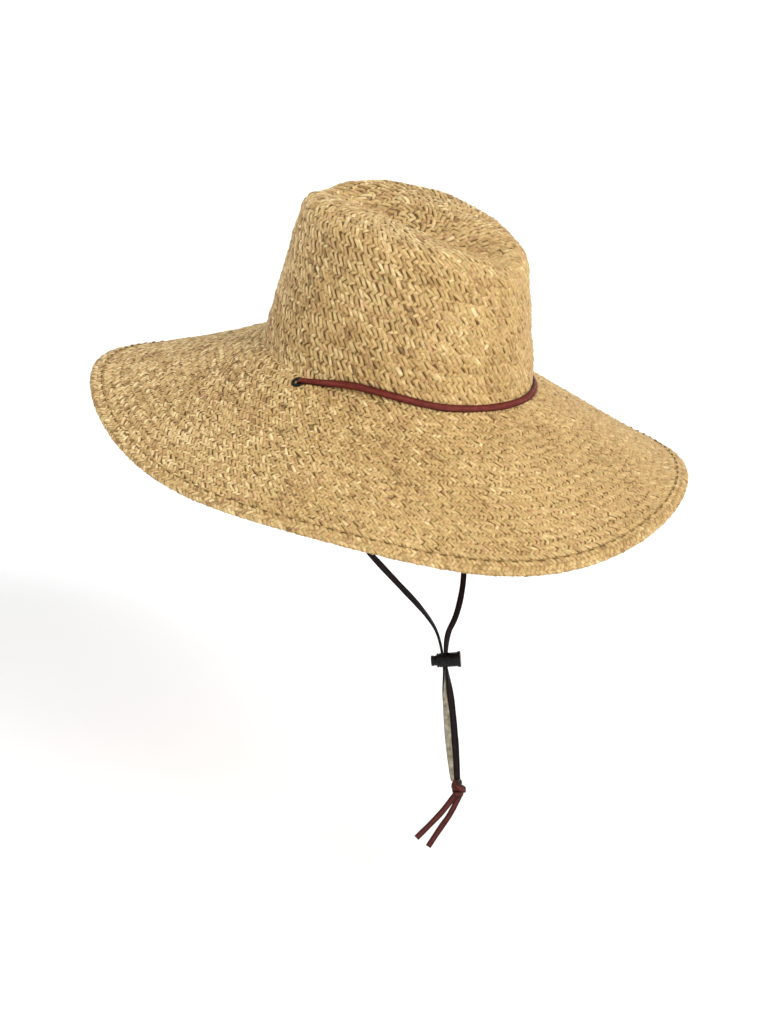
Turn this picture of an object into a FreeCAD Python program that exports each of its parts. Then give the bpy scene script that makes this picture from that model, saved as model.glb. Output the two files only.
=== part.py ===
import FreeCAD, Part
import math
import os

# Straw sun hat with a pinched, creased crown, a wide waved brim and a leather chin lace.
# Millimetres. +Z is up, the front of the hat faces -Y, and the wearer's left is +X.
# The origin is the centre of the head opening, at the height of the brim's fold.

V = FreeCAD.Vector

# ---- head size and straw ----
HEAD_LENGTH = 200.0        # front to back, inside the sweatband
HEAD_WIDTH = 165.0         # side to side, inside the sweatband
SWEATBAND = 1.0            # cloth thickness
STRAW = 3.0                # plait thickness
WALL_Y = HEAD_LENGTH / 2 + SWEATBAND + STRAW    # outer half-length of the crown wall
WALL_X = HEAD_WIDTH / 2 + SWEATBAND + STRAW     # outer half-width of the crown wall

# ---- crown ----
CROWN_BASE_Z = 5.5         # where the wall turns into the fold
CROWN_HEIGHT = 117.5       # the rims beside the crease, above the fold
TAPER_Y = 0.157            # how fast the wall leans in, front and back
TAPER_X = 0.12             # the same at the sides
CORNER = 15.5              # rounding between wall and top
TIP = 0.07                 # the flat button in the middle, as a share of the top
SLOPE_START = 26.0         # the top falls away forward of here
FORWARD_SLOPE = 0.135
CREASE_DEPTH = 14.0
CREASE_HALF_WIDTH = 19.0
PINCH_DEPTH = 10.0
PINCH_Y = -56.0
PINCH_Z = 86.0

# ---- brim ----
FOLD = 5.5                 # inside radius between crown and brim
START_SLOPE = 0.52         # fall per millimetre where the brim leaves the fold
BRIM_WIDTH = 125.4         # from the crown wall to the edge
EDGE_DROP = 56.4           # the edge below the origin, on average
EDGE_WAVES = ((1, -3.5, 0.0), (2, 1.4, 4.3), (3, 3.8, -0.7), (4, 0.5, 7.6))  # order, cosine, sine
HEM_WIDTH = 10.0
HEM_EXTRA = 0.8            # the folded hem stands this much above and below the plait
HEM_INSET = 3.4            # the wire's line, in from the edge
WIRE = 1.6
CHANNEL = 3.0
JOINER = 2.6

# ---- eyelets and lace ----
EYELET_ANGLE = 104.5       # from the front, round the oval
EYELET_OUT = 8.7           # from the crown wall
HOLE = 5.2
BARREL = 6.2
FLANGE = 10.0
FLANGE_THICK = 0.8
LACE_WIDTH = 4.5
LACE_THICK = 1.8
LACE_RING_OUT = 2.45       # the lace round the crown lies in the fold, tilted
LACE_RING_Z = 2.76
LACE_TILT = 42.0
HINGE_BELOW = 6.8          # below the eyelet's top face, where the hanging lace pivots

# ---- cord lock, on the doubled lace ----
LOCK = V(0, -77.7, -219.5)
LACE_DOWN = V(0, -0.2639, -0.9645)
LOCK_AXIS = V(0.45, -0.8614, 0.2357)   # towards the closed end, square to LACE_DOWN
LACE_OFFSET = 0.95         # each strand from the middle of the hole
LOCK_DIAMETER = 11.0
LOCK_START = -5.8
LOCK_END = 12.4
LOCK_BORE = 8.4
PLUNGER = 8.2
PLUNGER_START = -10.2
PLUNGER_END = 5.4
LOCK_HOLE = 5.6
PLUNGER_TRAVEL = 3.2
KNOT = V(0, -106.5, -321)


def oval(angle, out, z):
    """Point outside the crown wall's oval by out; angle in degrees from the front towards +X."""
    a = math.radians(angle)
    n = oval_normal(angle)
    return V(WALL_X * math.sin(a) + out * n.x, -WALL_Y * math.cos(a) + out * n.y, z)


def oval_normal(angle):
    a = math.radians(angle)
    return V(math.sin(a) / WALL_X, -math.cos(a) / WALL_Y, 0).normalize()


def open_curve(points):
    curve = Part.BSplineCurve()
    curve.interpolate(points)
    return curve.toShape()


def save(name, shape):
    if not shape.isValid():
        print("NOT VALID", name)
    shape.exportStep("parts/%s.step" % name)
    print("%-24s volume %10.1f  solids %d" % (name, shape.Volume, len(shape.Solids)))


# ---------------------------------------------------------------- crown

def rim_height(y):
    """Height of the top beside the crease; it falls away a little more towards the front."""
    ahead = SLOPE_START - y
    eased = 0.5 * (ahead + math.sqrt(ahead * ahead + 64.0))
    return CROWN_HEIGHT - FORWARD_SLOPE * eased


def crease(x, y):
    """Depth of the valley that runs along the top from back to front."""
    back = 1.0 / (1.0 + math.exp((y - 62.0) / 9.0))
    front = 1.0 / (1.0 + math.exp((-y - 66.0) / 9.0))
    along = 0.35 + 0.65 * back * front
    return CREASE_DEPTH * along * math.exp(-(x / CREASE_HALF_WIDTH) ** 2)


def pinch(x, y, z):
    """How far the front sides are pressed in."""
    near = math.exp(-((y - PINCH_Y) / 27.0) ** 2 - ((z - PINCH_Z) / 25.0) ** 2)
    return PINCH_DEPTH * near * abs(x) / (abs(x) + 12.0)


def crown_point(angle, wall, turn, top, inset):
    """wall 0..1 climbs the wall, turn 0..90 rounds the corner, top 1..0 runs in over the top."""
    a = math.radians(angle)
    corner = CORNER - inset
    in_by = inset + corner * (1 - math.cos(math.radians(turn)))
    lean = wall * (CROWN_HEIGHT - CORNER - CROWN_BASE_Z)
    x = (WALL_X - TAPER_X * lean - in_by) * math.sin(a) * top
    y = -(WALL_Y - TAPER_Y * lean - in_by) * math.cos(a) * top
    height = rim_height(y) - inset
    z = CROWN_BASE_Z + wall * (height - corner - CROWN_BASE_Z) + corner * math.sin(math.radians(turn))
    share = wall ** 4 * (0.35 + 0.65 * math.sin(math.radians(turn)))
    z -= crease(x, y) * share
    if x:
        x -= math.copysign(pinch(x, y, z), x)
    return V(x, y, z)


CROWN_STATIONS = [(k / 8, 0, 1) for k in range(9)]
CROWN_STATIONS += [(1, t, 1) for t in (22.5, 45, 67.5, 90)]
CROWN_STATIONS += [(1, 90, t) for t in (0.9, 0.75, 0.6, 0.45, 0.3, 0.18, TIP)]


def crown_section(angle):
    """The plait's section from the base of the wall to the small hole in the middle of the top."""
    outer = [crown_point(angle, wall, turn, top, 0) for wall, turn, top in CROWN_STATIONS]
    inner = [crown_point(angle, wall, turn, top, STRAW) for wall, turn, top in CROWN_STATIONS]
    sides = [open_curve(outer), Part.makeLine(outer[-1], inner[-1]),
             open_curve(inner[::-1]), Part.makeLine(inner[0], outer[0])]
    return Part.Wire(sides)


def crown_button():
    """The small disc where the plait starts, let into the hole's rim."""
    top = [crown_point(a, 1, 90, TIP, 0) for a in range(0, 360, 10)]
    low = max(p.z for p in top) - STRAW + 0.15
    high = min(p.z for p in top) - 0.15
    outline = Part.Ellipse(V(0, 0, low), max(p.y for p in top) + 0.5, max(p.x for p in top) + 0.5)
    edge = outline.toShape()
    edge.rotate(V(0, 0, low), V(0, 0, 1), 90)
    return Part.Face(Part.Wire([edge])).extrude(V(0, 0, high - low))


def straw_crown():
    return around(crown_section).fuse(crown_button())


# ---------------------------------------------------------------- brim

def edge_height(angle):
    a = math.radians(angle)
    return -EDGE_DROP + sum(c * math.cos(k * a) + s * math.sin(k * a) for k, c, s in EDGE_WAVES)


FOLD_TURN = 90.0 - math.degrees(math.atan(START_SLOPE))
FOLD_OUT = FOLD * (1 - math.cos(math.radians(FOLD_TURN)))
FOLD_Z = CROWN_BASE_Z - FOLD * math.sin(math.radians(FOLD_TURN))


def brim_surface(angle, out):
    """Height and slope of the brim's top face at a distance out from the crown wall."""
    run = BRIM_WIDTH - FOLD_OUT
    fall = FOLD_Z - edge_height(angle)
    bend = 2 * (fall - START_SLOPE * run) / run ** 2
    d = out - FOLD_OUT
    return FOLD_Z - START_SLOPE * d - 0.5 * bend * d * d, START_SLOPE + bend * d


def brim_point(angle, out, below):
    """Point under the top face by below, measured square to the face."""
    z, slope = brim_surface(angle, out)
    n = math.hypot(1, slope)
    return oval(angle, out - below * slope / n, z - below / n)


def brim_section(angle):
    top, bottom = [], []
    for k in range(4):
        t = math.radians(FOLD_TURN * k / 4)
        c, s = math.cos(t), math.sin(t)
        top.append(oval(angle, FOLD - FOLD * c, CROWN_BASE_Z - FOLD * s))
        bottom.append(oval(angle, FOLD - (FOLD + STRAW) * c, CROWN_BASE_Z - (FOLD + STRAW) * s))
    for k in range(6):
        out = FOLD_OUT + (BRIM_WIDTH - HEM_WIDTH - FOLD_OUT) * k / 5
        top.append(brim_point(angle, out, 0))
        bottom.append(brim_point(angle, out, STRAW))
    sides = [open_curve(top), Part.makeLine(top[-1], bottom[-1]),
             open_curve(bottom[::-1]), Part.makeLine(bottom[0], top[0])]
    return Part.Wire(sides)


def hem_section(angle):
    """The folded edge: flat against the plait, rounded outside in five facets."""
    half = STRAW / 2 + HEM_EXTRA
    corners = [(BRIM_WIDTH - HEM_WIDTH, STRAW / 2 - half)]
    for k in range(6):
        t = math.radians(-90 + 36 * k)
        corners.append((BRIM_WIDTH - half + half * math.cos(t), STRAW / 2 + half * math.sin(t)))
    corners.append((BRIM_WIDTH - HEM_WIDTH, STRAW / 2 + half))
    corners.append(corners[0])
    return Part.makePolygon([brim_point(angle, out, below) for out, below in corners])


def around(section):
    """Two half rings lofted through the section, joined at the front and back."""
    halves = []
    for start in (0, 180):
        wires = [section(start + a) for a in range(0, 181, 10)]
        halves.append(Part.makeLoft(wires, True, False))
    return halves[0].fuse(halves[1])


def hem_line(angle):
    return brim_point(angle, BRIM_WIDTH - HEM_INSET, STRAW / 2)


def channel_section(angle):
    """The hollow that the fold leaves for the wire."""
    low, high = STRAW / 2 - CHANNEL / 2, STRAW / 2 + CHANNEL / 2
    near, far = BRIM_WIDTH - HEM_INSET - CHANNEL / 2, BRIM_WIDTH - HEM_INSET + CHANNEL / 2
    corners = [(near, low), (far, low), (far, high), (near, high), (near, low)]
    return Part.makePolygon([brim_point(angle, out, below) for out, below in corners])


def hem_pipe(diameter, start, end):
    steps = max(4, int(abs(end - start) / 7.5))
    points = [hem_line(start + (end - start) * k / steps) for k in range(steps + 1)]
    path = Part.Wire([open_curve(points)])
    circle = Part.makeCircle(diameter / 2, points[0], points[1] - points[0])
    return path.makePipeShell([Part.Wire([circle])], True, False)


def straw_brim():
    body = around(brim_section)
    for side in (1, -1):
        body = body.cut(eyelet_clearance(side))
    return body


def brim_hem():
    return around(hem_section).cut(around(channel_section))


def brim_wire():
    """One spring wire round the hem; its ends meet at the back inside the joiner."""
    return hem_pipe(WIRE, 180.1, 539.9)


def wire_joiner():
    return hem_pipe(JOINER, 177.8, 182.2).cut(hem_pipe(WIRE, 177.5, 182.5))


def stitch(a, b, diameter):
    return Part.makeCylinder(diameter / 2, (b - a).Length, a, b - a)


def hem_stitches():
    """Lock stitches that hold the folded hem, half sunk in its top face."""
    out = BRIM_WIDTH - HEM_WIDTH + 1.6
    step = 360.0 / 132
    solids = []
    for k in range(132):
        a = brim_point((k + 0.2) * step, out, -HEM_EXTRA)
        b = brim_point((k + 0.75) * step, out, -HEM_EXTRA)
        solids.append(stitch(a, b, 0.8))
    return Part.makeCompound(solids)


# ---------------------------------------------------------------- sweatband

SWEATBAND_LOW = 3.0
SWEATBAND_HIGH = 33.0
BAND_GAP = 0.3             # between the tape and the straw


def band_point(angle, z, depth):
    """Point against the inside of the wall at about height z, in from the straw by depth."""
    rim = rim_height(-WALL_Y * math.cos(math.radians(angle)))
    wall = (z - CROWN_BASE_Z) / (rim - CORNER - CROWN_BASE_Z)
    return crown_point(angle, wall, 0, 1, STRAW + depth)


def sweatband_section(angle):
    corners = [(SWEATBAND_LOW, BAND_GAP), (SWEATBAND_HIGH, BAND_GAP),
               (SWEATBAND_HIGH, BAND_GAP + SWEATBAND), (SWEATBAND_LOW, BAND_GAP + SWEATBAND)]
    return Part.makePolygon([band_point(angle, z, depth) for z, depth in corners + corners[:1]])


def sweatband():
    return around(sweatband_section)


def sweatband_stitches():
    """A row of stitches near the lower edge, half sunk in the cloth."""
    solids = []
    for k in range(90):
        ends = [band_point((k + share) * 4, SWEATBAND_LOW + 3, BAND_GAP + SWEATBAND) for share in (0.2, 0.8)]
        solids.append(stitch(ends[0], ends[1], 0.7))
    return Part.makeCompound(solids)


# ---------------------------------------------------------------- eyelets

def eyelet_frame(side):
    """Origin on the brim's top face, and the unit vector out of the face."""
    out = EYELET_OUT - FOLD_OUT
    run = BRIM_WIDTH - FOLD_OUT
    bend = 2 * (FOLD_Z + EDGE_DROP - START_SLOPE * run) / run ** 2
    slope = START_SLOPE + bend * out
    z = FOLD_Z - START_SLOPE * out - 0.5 * bend * out * out
    n = oval_normal(EYELET_ANGLE)
    origin = oval(EYELET_ANGLE, EYELET_OUT, z)
    normal = V(n.x * slope, n.y * slope, 1).normalize()
    return V(side * origin.x, origin.y, origin.z), V(side * normal.x, normal.y, normal.z)


def disc(side, radius, low, high):
    origin, normal = eyelet_frame(side)
    return Part.makeCylinder(radius, high - low, origin + normal * low, normal)


def eyelet_clearance(side):
    seat = disc(side, FLANGE / 2 + 0.2, 0, 6).fuse(disc(side, FLANGE / 2 + 0.2, -STRAW - 6, -STRAW))
    return seat.fuse(disc(side, BARREL / 2, -STRAW - 1, 1))


def eyelet(side):
    top = disc(side, FLANGE / 2, 0, FLANGE_THICK)
    top = top.makeFillet(0.35, [e for e in top.Edges if abs(e.Length - math.pi * FLANGE) < 0.01])
    lip = disc(side, BARREL / 2 + 0.6, -STRAW - 1.2, -STRAW - 0.6)
    body = top.fuse(disc(side, BARREL / 2, -STRAW - 1.2, 0)).fuse(lip)
    return body.cut(disc(side, HOLE / 2, -10, 5))


def eyelet_washer(side):
    return disc(side, FLANGE / 2, -STRAW - 0.6, -STRAW).cut(disc(side, BARREL / 2, -10, 5))


# ---------------------------------------------------------------- lace

def strap_section(centre, along, across, width=LACE_WIDTH, thick=LACE_THICK):
    """Rectangle square to along, its long sides parallel to across."""
    t = V(along).normalize()
    w = V(across) - t * t.dot(V(across))
    w.normalize()
    h = t.cross(w)
    corners = [centre + w * (i * width / 2) + h * (j * thick / 2)
               for i, j in ((-1, -1), (1, -1), (1, 1), (-1, 1), (-1, -1))]
    return Part.makePolygon(corners)


def rounded_route(points, name):
    """Straight runs joined by tangent arcs."""
    edges = []
    start = points[0]
    radii = []
    for before, corner, after in zip(points, points[1:], points[2:]):
        u = V(before - corner).normalize()
        w = V(after - corner).normalize()
        half = (math.pi - math.acos(u.dot(w))) / 2
        tangent = 0.45 * min((before - corner).Length, (after - corner).Length)
        radius = tangent / math.tan(half)
        radii.append(radius)
        a, b = corner + u * tangent, corner + w * tangent
        bisector = V(u + w).normalize()
        middle = corner + bisector * (radius / math.cos(half) - radius)
        edges.append(Part.LineSegment(start, a).toShape())
        edges.append(Part.Arc(a, middle, b).toShape())
        start = b
    edges.append(Part.LineSegment(start, points[-1]).toShape())
    wire = Part.Wire(edges)
    print("%s: length %.1f, arc radii %s" % (name, wire.Length, ["%.1f" % r for r in radii]))
    return wire


def strap(points, across, name):
    route = rounded_route(points, name)
    section = strap_section(points[0], points[1] - points[0], across)
    solid = route.makePipeShell([section], True, False)
    print("  volume over section x length: %.3f"
          % (solid.Volume / (LACE_WIDTH * LACE_THICK * route.Length)))
    return solid


def hinge_point(side):
    """The hanging lace turns about the line through both of these."""
    origin, normal = eyelet_frame(side)
    return origin - normal * HINGE_BELOW


def ring_point(angle):
    a = math.radians(angle)
    return V((WALL_X + LACE_RING_OUT) * math.sin(a), -(WALL_Y + LACE_RING_OUT) * math.cos(a), LACE_RING_Z)


def ring_tangency(origin):
    """Angle where a straight line from the eyelet touches the lace's oval, on its front side."""
    a, b = WALL_Y + LACE_RING_OUT, WALL_X + LACE_RING_OUT
    p, q = abs(origin.x) * a, origin.y * b
    return math.degrees(math.asin(a * b / math.hypot(p, q)) + math.atan2(q, p))


def ring_across(angle):
    n = oval_normal(angle)
    s, c = math.sin(math.radians(LACE_TILT)), math.cos(math.radians(LACE_TILT))
    return V(n.x * s, n.y * s, -c)


def ring_along(angle):
    a = math.radians(angle)
    return V((WALL_X + LACE_RING_OUT) * math.cos(a), (WALL_Y + LACE_RING_OUT) * math.sin(a), 0).normalize()


def eyelet_turn(side):
    """The lace through one eyelet and over towards the front, and its straight run to the fold."""
    origin, normal = eyelet_frame(side)
    touch = side * ring_tangency(origin)
    target = ring_point(touch)
    lift = FLANGE_THICK + LACE_THICK / 2 + 0.1
    bend = 3.0
    ahead = target - (origin + normal * lift)
    ahead = V(ahead - normal * normal.dot(ahead)).normalize()
    across = normal.cross(ahead)
    bottom = origin - normal * (HINGE_BELOW - 0.6)
    a = origin + normal * (lift - bend)
    b = origin + normal * lift + ahead * bend
    middle = origin + normal * (lift - bend) + ahead * bend
    middle = middle + V(normal - ahead).normalize() * bend
    route = Part.Wire([Part.LineSegment(bottom, a).toShape(), Part.Arc(a, middle, b).toShape()])
    through = route.makePipeShell([strap_section(bottom, normal, across)], True, False)
    sections = []
    end_across = ring_across(touch)
    end_along = ring_along(touch) * -side
    if across.dot(end_across) < 0:
        across = across * -1
    for k in range(5):
        f = k / 4
        sections.append(strap_section(b + (target - b) * f, ahead * (1 - f) + end_along * f,
                                      across * (1 - f) + end_across * f))
    run = Part.makeLoft(sections, True, False)
    floor = hinge_point(side).z + LACE_THICK / 2 + 0.12
    below = Part.makeBox(30, 30, 30, V(bottom.x - 15, bottom.y - 15, floor - 30))
    return through.fuse(run).cut(below), touch


def chin_lace_band():
    """The part of the lace that lies round the crown's front, eyelet to eyelet."""
    left, touch = eyelet_turn(1)
    right, _ = eyelet_turn(-1)
    ellipse = Part.Ellipse(V(0, 0, LACE_RING_Z), WALL_Y + LACE_RING_OUT, WALL_X + LACE_RING_OUT)
    edge = ellipse.toShape(math.radians(180 - touch), math.radians(180 + touch))
    edge.rotate(V(0, 0, LACE_RING_Z), V(0, 0, 1), 90)
    start = edge.valueAt(edge.FirstParameter)
    side = 1 if start.x > 0 else -1
    section = strap_section(start, ring_along(side * touch) * -side, ring_across(side * touch))
    ring = Part.Wire([edge]).makePipeShell([section], True, False)
    return ring.fuse([left, right])


def lock_point(down, along):
    return LOCK + LACE_DOWN * down + LOCK_AXIS * along


# Corners of the hanging strands, from the eyelet to the lock. The right strand is slacker.
LEFT_CORNERS = [V(84, 4, -58), V(69, -29, -111), V(47, -60, -158), V(20, -73.5, -188)]
RIGHT_CORNERS = [V(-86, 5, -60), V(-69, -25, -115), V(-40, -44.5, -149.5), V(-14.6, -63.5, -180)]
DROP_START = 7.0
DROP_CORNERS = {1: ((38, 3.0), (74, 2.6), (98, 1.1)), -1: ((36, -2.0), (76, -3.9), (98, -1.1))}


def hanging_points(side):
    corners = LEFT_CORNERS if side > 0 else RIGHT_CORNERS
    offset = side * LACE_OFFSET
    return [hinge_point(side)] + corners + [lock_point(-17, offset), lock_point(DROP_START, offset)]


def drop_points(side):
    start = lock_point(DROP_START, side * LACE_OFFSET)
    return [start] + [lock_point(down, along) for down, along in DROP_CORNERS[side]]


def chin_lace(side):
    """Swept from the lock up, so that its flat side is against the plunger there."""
    points = hanging_points(side)
    body = strap(points[::-1], LACE_DOWN.cross(LOCK_AXIS), "chin_lace %+d" % side)
    pivot = Part.makeCylinder(LACE_THICK / 2, LACE_WIDTH - 0.4, points[0] - V(LACE_WIDTH / 2 - 0.2, 0, 0),
                              V(1, 0, 0))
    return body.fuse(pivot)


def drop_lace(side):
    return strap(drop_points(side), LACE_DOWN.cross(LOCK_AXIS), "drop_lace %+d" % side)


def chin_lace_knot():
    """Overhand knot, drawn tight: a core with two turns round it."""
    core = Part.makeCylinder(3.4, 11, KNOT - LACE_DOWN * 5.5, LACE_DOWN)
    core = core.makeFillet(1.4, [e for e in core.Edges if abs(e.Length - 2 * math.pi * 3.4) < 0.01])
    upper = Part.makeTorus(3.2, 2.1, KNOT - LACE_DOWN * 2.2, V(0.25, -0.2, -1))
    lower = Part.makeTorus(3.0, 2.1, KNOT + LACE_DOWN * 1.8, V(-0.2, -0.35, -1))
    return core.fuse([upper, lower])


TAIL_LEFT = [V(0.6, -109, -325), V(-2, -106, -341), V(-7, -100, -357), V(-12, -95.5, -372)]
TAIL_RIGHT = [V(-1.2, -106.2, -325), V(-5, -101, -339), V(-12, -94.5, -352), V(-20, -88, -364)]


def lace_tail(side):
    return strap(TAIL_LEFT if side > 0 else TAIL_RIGHT, V(1, 0.4, 0), "tail %+d" % side)


# ---------------------------------------------------------------- cord lock

def lock_rod(radius, start, end):
    return Part.makeCylinder(radius, end - start, lock_point(0, start), LOCK_AXIS)


def lace_slot(start, end):
    """The square way for the lace, from start to end along the lock."""
    across = LACE_DOWN.cross(LOCK_AXIS)
    section = strap_section(lock_point(-10, (start + end) / 2), LACE_DOWN, across, 5.4, end - start)
    return Part.Face(Part.Wire(section.Edges)).extrude(LACE_DOWN * 20)


def lock_barrel():
    body = lock_rod(LOCK_DIAMETER / 2, LOCK_START, LOCK_END)
    body = body.fuse(lock_rod(LOCK_DIAMETER / 2 + 0.7, LOCK_END - 1.8, LOCK_END))
    groove = lock_rod(LOCK_DIAMETER / 2 + 2, LOCK_START + 1.4, LOCK_START + 2.0)
    body = body.cut(groove.cut(lock_rod(LOCK_DIAMETER / 2 - 0.5, LOCK_START, LOCK_END)))
    body = body.cut(lock_rod(LOCK_BORE / 2, LOCK_START - 1, LOCK_END - 1.5))
    return body.cut(lace_slot(-LOCK_HOLE / 2, LOCK_HOLE / 2))


def lock_plunger():
    """Button and stem; its slot leaves the lace room as it is pressed."""
    body = lock_rod(PLUNGER / 2, PLUNGER_START, PLUNGER_END)
    rims = [e for e in body.Edges if abs(e.Length - math.pi * PLUNGER) < 0.01]
    body = body.makeFillet(0.8, rims)
    pinch_face = LACE_OFFSET + LACE_THICK / 2 + 0.08
    return body.cut(lace_slot(-pinch_face - PLUNGER_TRAVEL - 0.3, pinch_face))


def lock_spring():
    """Compression spring between the plunger and the closed end."""
    wire, mean, turns = 0.5, 5.6, 3.5
    low, high = PLUNGER_END + wire / 2 + 0.05, LOCK_END - 1.5 - wire / 2 - 0.05
    steps = int(turns * 12)
    points = []
    for k in range(steps + 1):
        a = 2 * math.pi * turns * k / steps
        points.append(V(mean / 2 * math.cos(a), mean / 2 * math.sin(a), (high - low) * k / steps))
    circle = Part.makeCircle(wire / 2, points[0], points[1] - points[0])
    coil = Part.Wire([open_curve(points)]).makePipeShell([Part.Wire([circle])], True, False)
    coil.Placement = FreeCAD.Placement(lock_point(0, low), FreeCAD.Rotation(V(0, 0, 1), LOCK_AXIS))
    return coil


def main():
    os.makedirs("parts", exist_ok=True)
    save("straw_crown", straw_crown())
    save("straw_brim", straw_brim())
    save("brim_hem", brim_hem())
    save("brim_wire", brim_wire())
    save("wire_joiner", wire_joiner())
    save("hem_stitches", hem_stitches())
    save("sweatband", sweatband())
    save("sweatband_stitches", sweatband_stitches())
    for side, name in ((1, "left"), (-1, "right")):
        save("eyelet_" + name, eyelet(side))
        save("eyelet_washer_" + name, eyelet_washer(side))
        save("chin_lace_" + name, chin_lace(side))
        save("drop_lace_" + name, drop_lace(side))
        save("lace_tail_" + name, lace_tail(side))
    save("chin_lace_band", chin_lace_band())
    save("chin_lace_knot", chin_lace_knot())
    save("lock_barrel", lock_barrel())
    save("lock_plunger", lock_plunger())
    save("lock_spring", lock_spring())


if __name__ == "__main__":
    main()
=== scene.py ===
import math

import bpy
import numpy as np
from mathutils import Matrix, Vector


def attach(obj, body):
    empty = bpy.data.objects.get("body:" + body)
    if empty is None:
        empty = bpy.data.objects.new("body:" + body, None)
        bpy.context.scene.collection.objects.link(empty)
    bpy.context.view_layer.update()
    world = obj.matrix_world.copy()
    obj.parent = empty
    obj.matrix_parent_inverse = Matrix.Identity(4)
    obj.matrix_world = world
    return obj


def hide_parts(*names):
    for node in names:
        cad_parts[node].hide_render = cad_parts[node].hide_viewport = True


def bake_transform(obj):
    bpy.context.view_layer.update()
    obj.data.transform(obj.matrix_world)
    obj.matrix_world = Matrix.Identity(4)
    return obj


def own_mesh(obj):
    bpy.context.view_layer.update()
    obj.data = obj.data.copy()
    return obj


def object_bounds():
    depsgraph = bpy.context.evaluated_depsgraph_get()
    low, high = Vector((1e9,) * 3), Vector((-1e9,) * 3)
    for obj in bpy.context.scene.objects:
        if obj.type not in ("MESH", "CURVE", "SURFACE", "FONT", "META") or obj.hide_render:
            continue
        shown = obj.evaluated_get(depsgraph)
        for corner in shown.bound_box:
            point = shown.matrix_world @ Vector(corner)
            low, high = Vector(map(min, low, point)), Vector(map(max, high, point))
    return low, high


# The looks of a straw sun hat with a leather chin lace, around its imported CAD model.
# Metres, in the CAD frame: +Z is up, the front of the hat faces -Y, the wearer's left is +X,
# and the origin is the centre of the head opening at the height of the brim's fold.

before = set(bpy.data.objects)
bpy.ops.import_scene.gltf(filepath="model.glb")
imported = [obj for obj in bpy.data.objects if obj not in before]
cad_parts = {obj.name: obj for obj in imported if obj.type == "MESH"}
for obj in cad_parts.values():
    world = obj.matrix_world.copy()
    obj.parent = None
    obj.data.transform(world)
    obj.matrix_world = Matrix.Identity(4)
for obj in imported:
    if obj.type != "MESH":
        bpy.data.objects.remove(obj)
cad_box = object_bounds()
scene = bpy.context.scene
SEED = 11
TONE, TONE_SPREAD = 0.52, 0.12      # a float's own tone, 0 dark to 1 light

# ---- the hat's shape, as the CAD source has it ----
STRAW = 0.003
WALL_Y, WALL_X = 0.104, 0.0865
CROWN_BASE_Z, CROWN_HEIGHT = 0.0055, 0.1175
TAPER_Y, TAPER_X = 0.157, 0.12
CORNER = 0.0155
SLOPE_START, FORWARD_SLOPE = 0.026, 0.135
CREASE_DEPTH, CREASE_HALF_WIDTH = 0.014, 0.019
CREASE_BACK, CREASE_FRONT, CREASE_FADE = 0.062, -0.066, 0.009
CREASE_LEAST = 0.35                 # share of its depth past its ends, and at the corner's foot
PINCH_DEPTH, PINCH_Y, PINCH_Z = 0.010, -0.056, 0.086
PINCH_REACH_Y, PINCH_REACH_Z, PINCH_MIDDLE = 0.027, 0.025, 0.012
CROWN_SOFTNESS = 0.008              # how softly the top starts to slope
FOLD, START_SLOPE = 0.0055, 0.52
BRIM_WIDTH, EDGE_DROP = 0.1254, 0.0564
EDGE_WAVES = ((1, -0.0035, 0.0), (2, 0.0014, 0.0043), (3, 0.0038, -0.0007), (4, 0.0005, 0.0076))
HEM_WIDTH, HEM_EXTRA, HEM_STITCHES = 0.010, 0.0008, 132
SWEATBAND_LOW, SWEATBAND_HIGH, SWEATBAND_THICK = 0.003, 0.033, 0.001
BAND_GAP, BAND_STITCHES = 0.0003, 90
EYELET_ANGLE, EYELET_OUT = math.radians(104.5), 0.0087
HOLE, BARREL, FLANGE, FLANGE_THICK = 0.0052, 0.0062, 0.010, 0.0008
LACE_WIDTH, LACE_THICK = 0.0045, 0.0018
LACE_RING_OUT, LACE_RING_Z, LACE_TILT = 0.00245, 0.00276, math.radians(42)
HINGE_BELOW = 0.0068

# ---- the hanging lace and the cord lock, as the CAD source has them; left is 1, right is -1 ----
HINGE = (0.089207, 0.027214, -0.008394)
HANGING_CORNERS = {1: [(0.084, 0.004, -0.058), (0.069, -0.029, -0.111), (0.047, -0.060, -0.158),
                       (0.020, -0.0735, -0.188)],
                   -1: [(-0.086, 0.005, -0.060), (-0.069, -0.025, -0.115),
                        (-0.040, -0.0445, -0.1495), (-0.0146, -0.0635, -0.180)]}
LOCK = Vector((0, -0.0777, -0.2195))
LACE_DOWN = Vector((0, -0.2639, -0.9645))
LOCK_AXIS = Vector((0.45, -0.8614, 0.2357))
LACE_OFFSET = 0.00095
LOCK_RADIUS, LOCK_START, LOCK_END, LOCK_BORE = 0.0055, -0.0058, 0.0124, 0.0084
PLUNGER_RADIUS, PLUNGER_START, PLUNGER_END = 0.0041, -0.0102, 0.0054
LOCK_FLOOR, LOCK_HOLE, PLUNGER_TRAVEL = 0.0015, 0.0056, 0.0032
DROP_START = 0.007
# How far below the lock and how far along its barrel; these strands hang up to 1 mm closer
# to each other than the CAD solids do.
DROP_CORNERS = {1: ((0.038, 0.0027), (0.074, 0.0024), (0.098, 0.0011)),
                -1: ((0.036, -0.0019), (0.076, -0.0031), (0.098, -0.0011))}
KNOT = Vector((0, -0.1065, -0.321))
TAILS = {1: [(0.0006, -0.109, -0.325), (-0.002, -0.106, -0.341), (-0.007, -0.100, -0.357),
             (-0.012, -0.0955, -0.372)],
         -1: [(-0.0012, -0.1062, -0.325), (-0.005, -0.101, -0.339), (-0.012, -0.0945, -0.352),
              (-0.020, -0.088, -0.364)]}


# ---- camera ----

CAMERA_AT = Vector((-1.49931, -0.79720, 0.59713))
CAMERA_LOOK = Vector((0.81489, 0.42921, -0.38953))
CAMERA_UP = Vector((0.27282, 0.30892, 0.91112))
CAMERA_LENS = 85.3


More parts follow.
